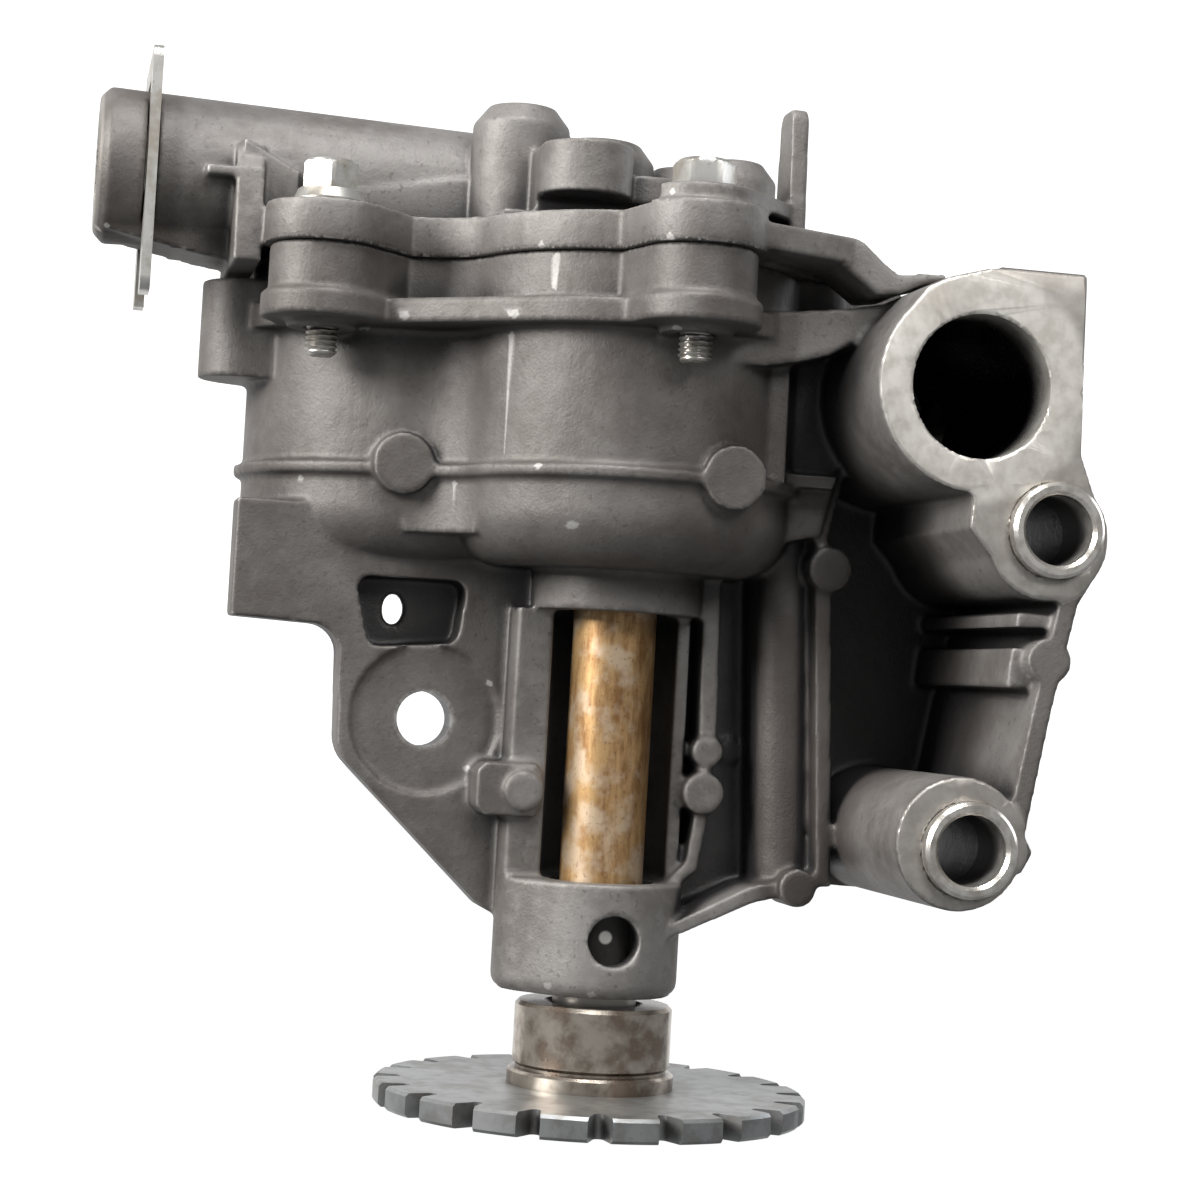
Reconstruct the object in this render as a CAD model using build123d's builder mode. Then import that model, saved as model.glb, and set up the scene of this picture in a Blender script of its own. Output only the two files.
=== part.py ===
"""Engine oil pump: a chain-driven gear pump with a relief valve in its cover.

Millimetres, +Z up along the drive shaft. The origin is on the shaft axis, in the middle
of the sprocket. The machined mounting face looks along -Y.
"""
import os
from math import acos, cos, hypot, pi, radians, sin, sqrt, tan

from build123d import *

os.makedirs("parts", exist_ok=True)

# Fits and clearances
press_fit = 0.02          # radial gap that stands for an interference fit
running_fit = 0.04        # radial gap of a journal or a sliding piston
thread_fit = 0.1          # radial gap of a bolt in its hole
face_gap = 0.05           # axial gap of the gears in their chamber
seam = 0.3                # gap between castings that stand side by side
through = 2.0             # how far a cutting tool runs past a surface

# Drive line
sprocket_teeth = 20
chain_pitch = 9.525
tooth_rise = 2.45         # tooth tip above the pitch circle
notch_depth = 3.7
notch_mouth = 3.9
notch_root = 1.5
sprocket_thickness = 3.6
rim_chamfer = 0.5
shaft_radius = 6.4
shaft_tail = 3.4          # shaft below the sprocket disc
hub_radius = 12.0
hub_top = 14.4
hub_collar_radius = 12.7
hub_collar_height = 2.4
hub_groove = 0.5
hub_spigot_radius = 9.0   # the hub's seat in the sprocket disc
ring_gap = 4.0
ring_thickness = 1.2
ring_width = 2.6
ring_groove = 0.8

# Gears
gear_teeth = 11
gear_module = 3.5
pressure_angle = 25.0
addendum_factor = 0.9
dedendum_factor = 1.15
backlash = 0.3
tip_gap = 0.1
gear_line_angle = 142.0   # from the drive gear to the driven gear, about Z
pin_radius = 6.0
gear_bush_wall = 1.5
key_size = 3.0
key_length = 18.0
pin_in_body = 10.0
pin_in_cover = 3.5

# Gear case
joint_z = 125.5           # plane where the cover meets the body
chamber_depth = 32.0
chamber_wall = 3.5
case_bottom = 80.0
case_round = 8.0
flange_low = 114.5
flange_thickness = 3.8
flange_width = 3.5
belt_z = 93.3             # height of the thin belt round the case
belt_thickness = 1.8
belt_rise = 1.3
bolt_boss_radius = 8.4
dowel_boss_radius = 6.0
valley_radius = 12.0      # fillet between the two lobes

# Shaft column
column_bottom = 16.0
snout_radius = 12.4
snout_top = 33.0
snout_round = 2.0
trough_radius = 11.8      # outside of the open trough between snout and collar
window_radius = 9.7
window_plane = -1.4       # the trough is open in front of this plane
window_top = 73.8
collar_radius = 13.0
flank_radius = 9.0        # thicker left side of the column
flank_x = -6.8
flank_y = 2.0
bush_wall = 1.6
oil_hole_z = 24.6
oil_bore_radius = 3.8
oil_bore_depth = 5.0
oil_drill_radius = 1.2

# Left flange
flange_front = 4.0
left_flange_thickness = 8.0
left_hole_x = -27.9
left_hole_z = 56.0
left_hole_radius = 4.2
spot_face_radius = 11.6
spot_face_depth = 0.8

# Mounting block on the right
face_y = -40.0            # the machined mounting face
web_front = 4.0
web_back = 9.0
block_wall = 3.0
rib_front = -11.0         # front of the tall rib on the web
niche_front = -12.0       # wall between the gear case and the tall rib
bar_front = -24.0
arm_front = -28.0
arm_depth = 13.0
port_x = 43.0
port_z = 108.1
port_radius = 10.4
port_ring_radius = 15.4
port_end = 17.0           # closed inner end of the delivery port
port_end_wall = 3.5
upper_sleeve_x = 55.0
upper_sleeve_z = 88.2
lower_sleeve_x = 44.3
lower_sleeve_z = 42.0
sleeve_inner = 5.1
sleeve_outer = 6.9
sleeve_length = 12.0
sleeve_stands_out = 2.2
upper_boss_radius = 9.2
upper_boss_x = 54.2        # the cast bosses stand a little off their sleeves
upper_boss_z = 87.2
lower_boss_radius = 9.6
lower_boss_x = 43.2
lower_boss_z = 42.8
block_top = 125.5
block_right = 58.6
web_top = 129.5           # the web closes the view under the cover's arm
passage_radius = 7.0
passage_y = 12.0
passage_z = 105.0
passage_left = 8.0
plug_depth = 5.0

# Cover; each dome is x, y, radius and top height
cover_thickness = 6.0
cover_edge = 1.0          # cover outline beyond the gear case
bearing_boss_radius = 10.5
bearing_boss_height = 8.0
dowel_radius = 3.0
dowel_length = 10.0
tab_x = 18.0
tab_y = -23.0
tab_thickness = 2.6
tab_top = 148.5
arm_low = 126.0
arm_knee = 26.7           # the cover's arm slopes down from here to the block
arm_thickness = 3.9
ear_rise = 2.6            # the right ear hides the flange of its bolt
domes = [(-18.0, 5.0, 7.5, 151.0), (-5.5, 5.0, 8.6, 146.6), (9.0, 9.0, 7.0, 144.5),
         (17.0, 9.0, 7.0, 146.5)]
dome_round = 3.0
lug_x = -13.8
lug_y = -12.0
lug_radius = 8.8
lug_top = 143.0
lug_head_x = -10.4        # the part above the slot is narrower and set back
lug_head_y = -10.0
lug_head_radius = 7.0
slot_low = 131.2
slot_height = 3.9
slot_depth = 13.0
end_wall_x = -61.5
end_wall_thickness = 4.2
end_wall_low = 123.0

# Cover bolts
bolt_radius = 2.5
bolt_head_flats = 8.0
bolt_head_height = 4.6
bolt_flange_radius = 5.5
bolt_flange_height = 2.4
bolt_boss_low = 113.3
bolt_boss_small = 5.4     # the part of a bolt boss below the flange
bolt_end = 109.2          # bright ends show below the bosses
bolt_spots = [(3.0, -30.0), (-47.8, -3.0), (-42.5, 53.0), (17.0, 25.5)]
dowel_spots = [(26.5, -6.5), (-53.2, 41.6)]

# Relief valve
valve_y = 16.0
valve_z = 138.2
valve_left = -82.0
valve_right = -22.0
valve_radius = 12.0
valve_draft = 1.6         # the casting narrows by this towards the dome
valve_bore = 8.0
valve_seat_x = -30.0
valve_seat_radius = 5.0
valve_port_x = -25.0
valve_port_y = 14.0
valve_port_radius = 3.5
spill_x = -38.0
spill_radius = 3.5
piston_length = 16.0
piston_wall = 1.8
piston_crown = 3.0
plug_length = 8.0
plug_lip = 4.0
seal_section = 0.9
spring_wire = 0.8
spring_radius = 4.9
spring_turns = 7
seal_setback = 2.5        # seal behind the plug's outer face
clip_x = -74.0
clip_thickness = 1.5
clip_width = 26.8         # over both legs, which pass in front of and behind the plug
clip_gap = 14.0           # between the legs
clip_bridge = 150.6       # underside of the bridge over the tube
clip_low = 117.8
clip_high = 155.0
clip_corner = 2.0

# Suction inlet at the back
inlet_x = -6.0
inlet_z = 103.0
inlet_radius = 9.5
inlet_boss_radius = 13.5
inlet_face = 52.0
inlet_depth = 11.0
inlet_passage_radius = 7.0
inlet_screw_spacing = 32.0
inlet_screw_radius = 2.5
inlet_screw_depth = 12.0
inlet_screw_boss = 5.5
inlet_flange_depth = 8.0

# Pressure groove in the chamber wall, from the gear mesh round to the delivery passage
groove_depth = 1.4
groove_low = 99.0
groove_height = 12.0
groove_angle = 32.0

# Places worked out from the sizes above
pitch_radius = gear_module * gear_teeth / 2
gear_outer = pitch_radius + gear_module * addendum_factor
gear_root = pitch_radius - gear_module * dedendum_factor
chamber_radius = gear_outer + tip_gap
case_radius = chamber_radius + chamber_wall
chamber_floor = joint_z - chamber_depth
cover_top = joint_z + cover_thickness
driven_x = 2 * pitch_radius * cos(radians(gear_line_angle))
driven_y = 2 * pitch_radius * sin(radians(gear_line_angle))
lobes = [(0.0, 0.0), (driven_x, driven_y)]
bush_outer = shaft_radius + running_fit + bush_wall
gear_bush_outer = pin_radius + running_fit + gear_bush_wall
sprocket_pitch_radius = chain_pitch / (2 * sin(pi / sprocket_teeth))
sprocket_outer = sprocket_pitch_radius + tooth_rise
shaft_bottom = -sprocket_thickness / 2 - shaft_tail
ring_inner = shaft_radius - ring_groove + press_fit
ring_outer = ring_inner + ring_width
ring_recess = 2 * ring_thickness
gear_length = chamber_depth - 2 * face_gap
gear_middle = joint_z - chamber_depth / 2
ring_heights = [joint_z + ring_thickness, -sprocket_thickness / 2 - ring_thickness / 2 - press_fit]
collar_top = sprocket_thickness / 2 + hub_collar_height
cover_bush_top = cover_top + bearing_boss_height - ring_width
shaft_top = cover_bush_top - 1.0
plug_left = clip_x + clip_thickness / 2 + face_gap
seal_x = plug_left + seal_setback
spring_left = plug_left + plug_length
spring_right = valve_seat_x - face_gap - piston_crown
spring_pitch = (spring_right - spring_left - 2 * spring_wire) / spring_turns
normal_x = -sin(radians(gear_line_angle))
normal_y = cos(radians(gear_line_angle))
valley_offset = sqrt((case_radius + valley_radius)**2 - pitch_radius**2)
valley_x = driven_x / 2 + normal_x * valley_offset
valley_y = driven_y / 2 + normal_y * valley_offset


def disc(radius, x=0.0, y=0.0):
    """A round sketch at one place."""
    with BuildSketch(Plane.XY, mode=Mode.PRIVATE) as sketch:
        with Locations((x, y)):
            Circle(radius)
    return sketch.sketch


def hull_of(circles):
    """The tight outline round some circles, given as (radius, x, y)."""
    with BuildSketch(Plane.XY, mode=Mode.PRIVATE) as sketch:
        with BuildLine():
            for radius, x, y in circles:
                CenterArc((x, y), radius, 0, 360)
        make_hull()
    return sketch.sketch


def valley_sketch(grow=0.0):
    """The smooth valley that runs into both lobes."""
    with BuildSketch(Plane.XY, mode=Mode.PRIVATE) as sketch:
        with BuildLine():
            Polyline(lobes[0], (valley_x, valley_y), lobes[1], close=True)
        make_face()
        with Locations((valley_x, valley_y)):
            Circle(valley_radius - grow, mode=Mode.SUBTRACT)
    return sketch.sketch


def nearest_lobe(x, y):
    """The lobe centre that a boss at (x, y) grows from."""
    return min(lobes, key=lambda lobe: hypot(x - lobe[0], y - lobe[1]))


def ear(x, y, boss_radius, grow=0.0):
    """A boss that runs into its lobe along tangents."""
    lobe_x, lobe_y = nearest_lobe(x, y)
    return hull_of([(boss_radius + grow, x, y), (case_radius * 0.55, lobe_x, lobe_y)])


def joint_outline(grow=0.0):
    """The outline that the case and the cover share at their joint."""
    with BuildSketch(Plane.XY, mode=Mode.PRIVATE) as sketch:
        for x, y in lobes:
            add(disc(case_radius + grow, x, y))
        add(valley_sketch(grow))
        for x, y in bolt_spots:
            add(ear(x, y, bolt_boss_radius, grow))
        for x, y in dowel_spots:
            add(ear(x, y, dowel_boss_radius, grow))
        add(hull_of([(pitch_radius, *lobes[0]), (pitch_radius, *lobes[1])]))
    return sketch.sketch


def involute_point(base_radius, radius, half_angle):
    """A point on the involute flank whose foot stands half_angle off the tooth's middle."""
    roll = sqrt(max(radius**2 / base_radius**2 - 1, 0.0))
    angle = half_angle - (roll - acos(min(base_radius / radius, 1.0)))
    return radius * cos(angle), radius * sin(angle)


def gear_sketch():
    """One spur gear profile, with a tooth along +X."""
    base = pitch_radius * cos(radians(pressure_angle))
    thickness_angle = (pi * gear_module / 2 - backlash / 2) / (2 * pitch_radius)
    involute_of_angle = tan(radians(pressure_angle)) - radians(pressure_angle)
    foot = thickness_angle + involute_of_angle
    radii = [base + (gear_outer - base) * step / 4 for step in range(5)]
    flank = [involute_point(base, radius, foot) for radius in radii]
    root_up = (gear_root * 0.99 * cos(foot), gear_root * 0.99 * sin(foot))
    with BuildSketch(Plane.XY, mode=Mode.PRIVATE) as tooth:
        with BuildLine():
            Line(root_up, flank[0])
            Spline(*flank)
            ThreePointArc(flank[-1], (gear_outer, 0), (flank[-1][0], -flank[-1][1]))
            Spline(*[(x, -y) for x, y in reversed(flank)])
            Line((flank[0][0], -flank[0][1]), (root_up[0], -root_up[1]))
            Line((root_up[0], -root_up[1]), root_up)
        make_face()
    with BuildSketch(Plane.XY, mode=Mode.PRIVATE) as profile:
        Circle(gear_root)
        with PolarLocations(0, gear_teeth):
            add(tooth.sketch)
    return profile.sketch


def face_plane(y=face_y):
    """A plane that looks along -Y, with its own x along +X and its own y along +Z."""
    return Plane(origin=(0, y, 0), x_dir=(1, 0, 0), z_dir=(0, -1, 0))


def pad(x, z, radius, front, depth):
    """A round ejector pad that faces -Y."""
    with BuildPart(mode=Mode.PRIVATE) as piece:
        with BuildSketch(face_plane(front)):
            with Locations((x, z)):
                Circle(radius)
        extrude(amount=-depth)
    return piece.part


def lobe_casting(x, y):
    """A gear lobe with its rounded lower rim, closed inside."""
    with BuildPart(mode=Mode.PRIVATE) as piece:
        with BuildSketch(Plane.XZ):
            with BuildLine():
                Line((0, case_bottom), (case_radius - case_round, case_bottom))
                RadiusArc((case_radius - case_round, case_bottom),
                          (case_radius, case_bottom + case_round), -case_round)
                Polyline((case_radius, case_bottom + case_round), (case_radius, joint_z),
                         (0, joint_z), (0, case_bottom))
            make_face()
        revolve(axis=Axis.Z)
    return piece.part.moved(Location((x, y, 0)))


def column_sketch(radius):
    """The column's outline: round the shaft, with a thicker flank on the left."""
    return hull_of([(radius, 0.0, 0.0), (flank_radius, flank_x, flank_y)])


def snout_casting():
    """The closed lower end of the column, rounded at its foot."""
    with BuildPart(mode=Mode.PRIVATE) as piece:
        with BuildSketch(Plane.XY.offset(column_bottom)):
            add(column_sketch(snout_radius))
        extrude(amount=snout_top - column_bottom)
        fillet(piece.edges().group_by(Axis.Z)[0], radius=snout_round)
    return piece.part


def plate(points, front, depth):
    """A flat plate that faces -Y, from its outline in x and z."""
    with BuildPart(mode=Mode.PRIVATE) as piece:
        with BuildSketch(face_plane(front)):
            with BuildLine():
                Polyline(*points, close=True)
            make_face()
        extrude(amount=-depth)
    return piece.part


# Pump body

with BuildPart() as pump_body:
    # gear case
    for lobe_x, lobe_y in lobes:
        add(lobe_casting(lobe_x, lobe_y))
    with BuildSketch(Plane.XY.offset(case_bottom + case_round / 2)):
        add(valley_sketch())
    extrude(amount=joint_z - case_bottom - case_round / 2)
    with BuildSketch(Plane.XY.offset(belt_z - belt_thickness / 2)):
        for lobe_x, lobe_y in lobes:
            add(disc(case_radius + belt_rise, lobe_x, lobe_y))
        add(valley_sketch(belt_rise))
    extrude(amount=belt_thickness)
    with BuildSketch(Plane.XY.offset(flange_low)):
        add(hull_of([(case_radius + flange_width, *spot) for spot in lobes]))
        for spot_x, spot_y in bolt_spots:
            add(ear(spot_x, spot_y, bolt_boss_radius, cover_edge))
    extrude(amount=flange_thickness)
    with BuildSketch(Plane.XY.offset(flange_low)):
        add(joint_outline())
    extrude(amount=joint_z - flange_low)
    with BuildSketch(Plane.XY.offset(bolt_boss_low)):
        with Locations(*bolt_spots):
            Circle(bolt_boss_small)
    extrude(amount=flange_low - bolt_boss_low)
    # side lug left of the case
    with BuildSketch(Plane.XY.offset(107.0)):
        add(hull_of([(7.0, -57.5, 19.0), (15.0, *lobes[1])]))
    extrude(amount=15.2)

    # shaft column: snout, open trough and collar
    add(snout_casting())
    with BuildSketch(Plane.XY.offset(snout_top)):
        add(column_sketch(trough_radius))
    extrude(amount=window_top - snout_top)
    with BuildSketch(Plane.XY.offset(window_top)):
        Circle(collar_radius)
    extrude(amount=case_bottom + case_round - window_top)
    add(plate([(-20.0, snout_top), (20.0, snout_top), (20.0, window_top), (-20.0, window_top)],
              -20.0, 20.0 + window_plane), mode=Mode.SUBTRACT)

    # left flange and the web to the mounting block
    with BuildSketch(face_plane(flange_front)):
        with BuildLine():
            Polyline((-58.3, case_bottom + case_round), (-58.3, 70.1), (-45.5, 69.6))
            RadiusArc((-45.5, 69.6), (-41.6, 65.6), 4.5)
            Polyline((-41.6, 65.6), (-41.2, 52.7))
            RadiusArc((-41.2, 52.7), (-39.4, 48.7), -6.0)
            Polyline((-39.4, 48.7), (-17.9, 28.0), (-12.0, 25.0), (0, 25.0),
                     (0, case_bottom + case_round), (-58.3, case_bottom + case_round))
        make_face()
    extrude(amount=-left_flange_thickness)
    add(plate([(0, 26.0), (9.0, 26.5), (24.0, 32.2), (28.5, 33.6),
               (lower_boss_x, lower_boss_z - lower_boss_radius),
               (lower_boss_x + lower_boss_radius, lower_boss_z),
               (upper_sleeve_x + 5.0, upper_sleeve_z - 7.0), (block_right, 99.5),
               (block_right, block_top), (45.0, block_top), (44.0, web_top), (28.0, web_top),
               (28.0, joint_z - 1.0), (14.0, joint_z - 1.0)], web_front, web_back - web_front))

    # mounting block: delivery boss, sleeve bosses and the outer wall
    with BuildSketch(face_plane()):
        with Locations((port_x, port_z)):
            Circle(port_ring_radius)
        with Locations((upper_boss_x, upper_boss_z)):
            Circle(upper_boss_radius)
        with BuildLine():
            Polyline((port_x, port_z), (31.4, 118.2), (34.3, 121.9), (37.2, 123.4), (43.2, 125.1),
                     (46.9, block_top), (block_right - 0.3, block_top - 0.1), (block_right, 99.5),
                     (61.2, 93.0), (upper_boss_x, upper_boss_z), (46.2, 83.2), (42.2, 87.8),
                     (42.4, 91.9), (port_x, port_z))
        make_face()
    extrude(amount=face_y - web_back)
    with BuildSketch(face_plane()):
        with Locations((lower_boss_x, lower_boss_z)):
            Circle(lower_boss_radius)
    extrude(amount=face_y - web_back)
    add(plate([(52.3, 45.4), (54.3, 42.0), (52.6, 38.8)], face_y + seam, 5.0))
    add(plate([(52.9, 44.0), (56.1, 62.5), (59.3, 77.8), (62.4, 83.2),
               (58.6, 83.2), (56.4, 77.8), (53.2, 62.5), (50.0, 44.0)],
              face_y + seam, web_back - face_y - seam))
    # stiffening ribs on the inside of the outer wall, and the half pad on its edge
    add(plate([(50.6, 74.2), (58.0, 74.2), (58.4, 76.4), (50.9, 76.4)], -38.0, 42.0))
    add(plate([(50.0, 65.4), (56.2, 65.4), (57.4, 71.2), (50.6, 71.2)], -37.0, 41.0))
    add(pad(55.4, 69.5, 3.3, face_y + seam, 8.0))

    # tall rib and the round band beside it, wall of the niche, and the diagonal rib
    add(plate([(31.0, 34.0), (28.5, 78.0), (27.9, 87.0), (30.3, 98.6), (35.0, 105.0),
               (38.0, 105.0), (32.4, 97.6), (30.1, 87.0), (31.1, 78.0), (33.4, 34.0)],
              rib_front, web_front - rib_front))
    with BuildSketch(Plane(origin=(27.6, -3.6, 34.0), x_dir=(0, 1, 0), z_dir=(-2.4, 0, 52.0))):
        Circle(4.2)
    extrude(amount=52.0)
    add(plate([(23.4, 34.0), (31.8, 34.0), (29.4, 86.0), (21.0, 86.0)], -3.6, web_front + 3.6))
    add(plate([(18.0, 117.0), (35.0, 117.0), (34.0, 103.0), (31.0, 98.0), (28.4, 87.0),
               (20.0, 85.0)], niche_front, web_front - niche_front))
    add(plate([(17.6, 94.0), (20.4, 94.0), (20.4, 112.0), (17.6, 112.0)], -19.4, 6.0))
    add(plate([(18.0, 94.0), (29.5, 94.0), (30.0, 96.0), (18.0, 96.0)], niche_front - 2.4, 6.0))
    add(plate([(8.0, 24.6), (8.6, 27.0), (21.0, 33.4), (31.0, 35.8), (31.0, 33.2), (22.0, 31.0)],
              -9.0, web_front + 9.0))
    # slanted rib right of the trough
    add(plate([(13.1, 79.0), (15.9, 79.0), (16.4, 56.0), (15.8, 44.0), (14.4, 35.0), (10.4, 31.6),
               (9.6, 33.2), (12.6, 36.4), (13.6, 44.0), (13.6, 56.0)], -3.0, web_front + 3.0))

    # bracket bar from the block to the case
    add(plate([(4.0, 118.4), (14.0, 118.6), (20.0, 119.1), (27.6, 120.1), (33.6, 121.4),
               (38.0, 121.4), (38.0, 114.0), (31.5, 116.4), (28.0, 114.6), (25.0, 112.9),
               (20.3, 111.6), (15.1, 110.6), (8.6, 110.4), (4.0, 110.4)], bar_front, 22.0))

    # suction inlet boss and its screw bosses at the back
    with BuildSketch(face_plane(inlet_face)):
        add(hull_of([(inlet_boss_radius, inlet_x, inlet_z),
                     (inlet_screw_boss, inlet_x, inlet_z - inlet_screw_spacing / 2),
                     (inlet_screw_boss, inlet_x, inlet_z + inlet_screw_spacing / 2)]))
    extrude(amount=inlet_flange_depth)
    with BuildSketch(face_plane(inlet_face - inlet_flange_depth)):
        with Locations((inlet_x, inlet_z)):
            Circle(inlet_boss_radius)
        with Locations((inlet_x, inlet_z - inlet_screw_spacing / 2),
                       (inlet_x, inlet_z + inlet_screw_spacing / 2)):
            Circle(inlet_screw_boss)
    extrude(amount=inlet_face - inlet_flange_depth - passage_y)

    # delivery passage casting behind the web
    with BuildSketch(face_plane(web_back)):
        with Locations((port_x, port_z)):
            Circle(port_radius + block_wall)
    extrude(amount=web_back - port_end - port_end_wall)
    with BuildSketch(Plane.YZ.offset(passage_left)):
        with Locations((passage_y, passage_z)):
            Circle(passage_radius + block_wall)
    extrude(amount=block_right - passage_left)

    # ejector pads
    add(pad(-34.5, 94.1, 4.6, driven_y - case_radius - 2.4, 8.0))
    add(pad(10.9, 93.6, 4.7, -case_radius - 1.0, 8.0))
    add(pad(30.5, 82.1, 3.4, niche_front, 9.0))
    add(plate([(-20.6, 43.6), (-19.2, 42.2), (-11.6, 42.2), (-10.4, 43.6), (-10.4, 48.8),
               (-11.6, 50.2), (-19.2, 50.2), (-20.6, 48.8)], -3.2, 10.0))
    add(pad(-13.4, 46.1, 3.05, -4.4, 8.0))
    add(pad(14.9, 53.4, 2.4, -4.0, 8.0))
    add(pad(14.5, 47.0, 3.2, -4.4, 8.0))
    add(pad(20.4, 53.6, 2.0, web_front - 0.6, 4.0))
    add(pad(28.2, 33.6, 2.9, rib_front, 9.0))

    # cuts: gear chamber, driven gear pin and shaft line
    with BuildSketch(Plane.XY.offset(chamber_floor)):
        for lobe_x, lobe_y in lobes:
            add(disc(chamber_radius, lobe_x, lobe_y))
    extrude(amount=chamber_depth + through, mode=Mode.SUBTRACT)
    with BuildSketch(Plane.XY.offset(chamber_floor - 10.0)):
        add(disc(pin_radius + press_fit, driven_x, driven_y))
    extrude(amount=10.0 + through, mode=Mode.SUBTRACT)
    with BuildSketch(Plane.XY.offset(column_bottom - through)):
        Circle(bush_outer + press_fit)
    extrude(amount=chamber_floor - column_bottom + 2 * through, mode=Mode.SUBTRACT)

    # cuts: pressure groove, and the inside of the column's trough
    with BuildSketch(Plane.XY.offset(groove_low)):
        Circle(chamber_radius + groove_depth)
        half_turn = radians(groove_angle - 90)
        with Locations(Location((case_radius * cos(half_turn), case_radius * sin(half_turn), 0),
                                groove_angle)):
            Rectangle(3 * case_radius, 2 * case_radius, mode=Mode.INTERSECT)
    extrude(amount=groove_height, mode=Mode.SUBTRACT)
    with BuildSketch(Plane.XY.offset(snout_top)):
        Circle(window_radius)
    extrude(amount=window_top - snout_top, mode=Mode.SUBTRACT)
    with BuildSketch(face_plane(-snout_radius - through)):
        with Locations((0, oil_hole_z)):
            Circle(oil_bore_radius)
    extrude(amount=-through - oil_bore_depth, mode=Mode.SUBTRACT)
    with BuildSketch(face_plane(-snout_radius - through)):
        with Locations((0, oil_hole_z)):
            Circle(oil_drill_radius)
    extrude(amount=-snout_radius, mode=Mode.SUBTRACT)

    # cuts: cover bolts and dowels
    with BuildSketch(Plane.XY.offset(bolt_boss_low - through)):
        with Locations(*bolt_spots):
            Circle(bolt_radius + thread_fit)
    extrude(amount=joint_z - bolt_boss_low + 2 * through, mode=Mode.SUBTRACT)
    with BuildSketch(Plane.XY.offset(joint_z - dowel_length / 2)):
        with Locations(*dowel_spots):
            Circle(dowel_radius + press_fit)
    extrude(amount=dowel_length, mode=Mode.SUBTRACT)

    # cuts: left flange hole, spot face and the pocket above it
    with BuildSketch(face_plane(flange_front)):
        with Locations((left_hole_x, left_hole_z)):
            Circle(left_hole_radius)
    extrude(amount=-left_flange_thickness - through, mode=Mode.SUBTRACT)
    with BuildSketch(face_plane(flange_front)):
        with Locations((left_hole_x, left_hole_z)):
            Circle(spot_face_radius)
    extrude(amount=-spot_face_depth, mode=Mode.SUBTRACT)
    with BuildSketch(face_plane(flange_front)):
        with BuildLine():
            FilletPolyline((-39.8, 77.4), (-22.4, 77.4), (-23.6, 67.8), (-37.2, 66.6),
                           radius=2.0, close=True)
        make_face()
    extrude(amount=-left_flange_thickness + 2.0, mode=Mode.SUBTRACT)
    with BuildSketch(face_plane(flange_front)):
        with Locations((-33.0, 72.6)):
            Ellipse(1.6, 2.4)
    extrude(amount=-left_flange_thickness - through, mode=Mode.SUBTRACT)

    # cuts: delivery port, sleeve bores, passage and suction inlet
    with BuildSketch(Plane.YZ.offset(passage_left)):
        with Locations((passage_y, passage_z)):
            Circle(passage_radius + press_fit)
    extrude(amount=block_right - passage_left + through, mode=Mode.SUBTRACT)
    with BuildSketch(face_plane(face_y - through)):
        with Locations((port_x, port_z)):
            Circle(port_radius)
    extrude(amount=face_y - through - port_end, mode=Mode.SUBTRACT)
    with BuildSketch(face_plane(face_y - through)):
        with Locations((upper_sleeve_x, upper_sleeve_z), (lower_sleeve_x, lower_sleeve_z)):
            Circle(sleeve_inner)
    extrude(amount=face_y - web_back - 3 * through, mode=Mode.SUBTRACT)
    with BuildSketch(face_plane(face_y - through)):
        with Locations((upper_sleeve_x, upper_sleeve_z), (lower_sleeve_x, lower_sleeve_z)):
            Circle(sleeve_outer + press_fit)
    extrude(amount=-through - sleeve_length + sleeve_stands_out, mode=Mode.SUBTRACT)
    with BuildSketch(face_plane(inlet_face + through)):
        with Locations((inlet_x, inlet_z)):
            Circle(inlet_radius)
    extrude(amount=inlet_depth + through, mode=Mode.SUBTRACT)
    with BuildSketch(face_plane(inlet_face)):
        with Locations((inlet_x, inlet_z)):
            Circle(inlet_passage_radius)
    extrude(amount=inlet_face - passage_y, mode=Mode.SUBTRACT)
    with BuildSketch(face_plane(inlet_face + through)):
        with Locations((inlet_x, inlet_z - inlet_screw_spacing / 2),
                       (inlet_x, inlet_z + inlet_screw_spacing / 2)):
            Circle(inlet_screw_radius)
    extrude(amount=inlet_screw_depth + through, mode=Mode.SUBTRACT)
pump_body.part.label = "pump_body"
export_step(pump_body.part, "parts/pump_body.step")


# Top cover with the relief valve tube

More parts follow.
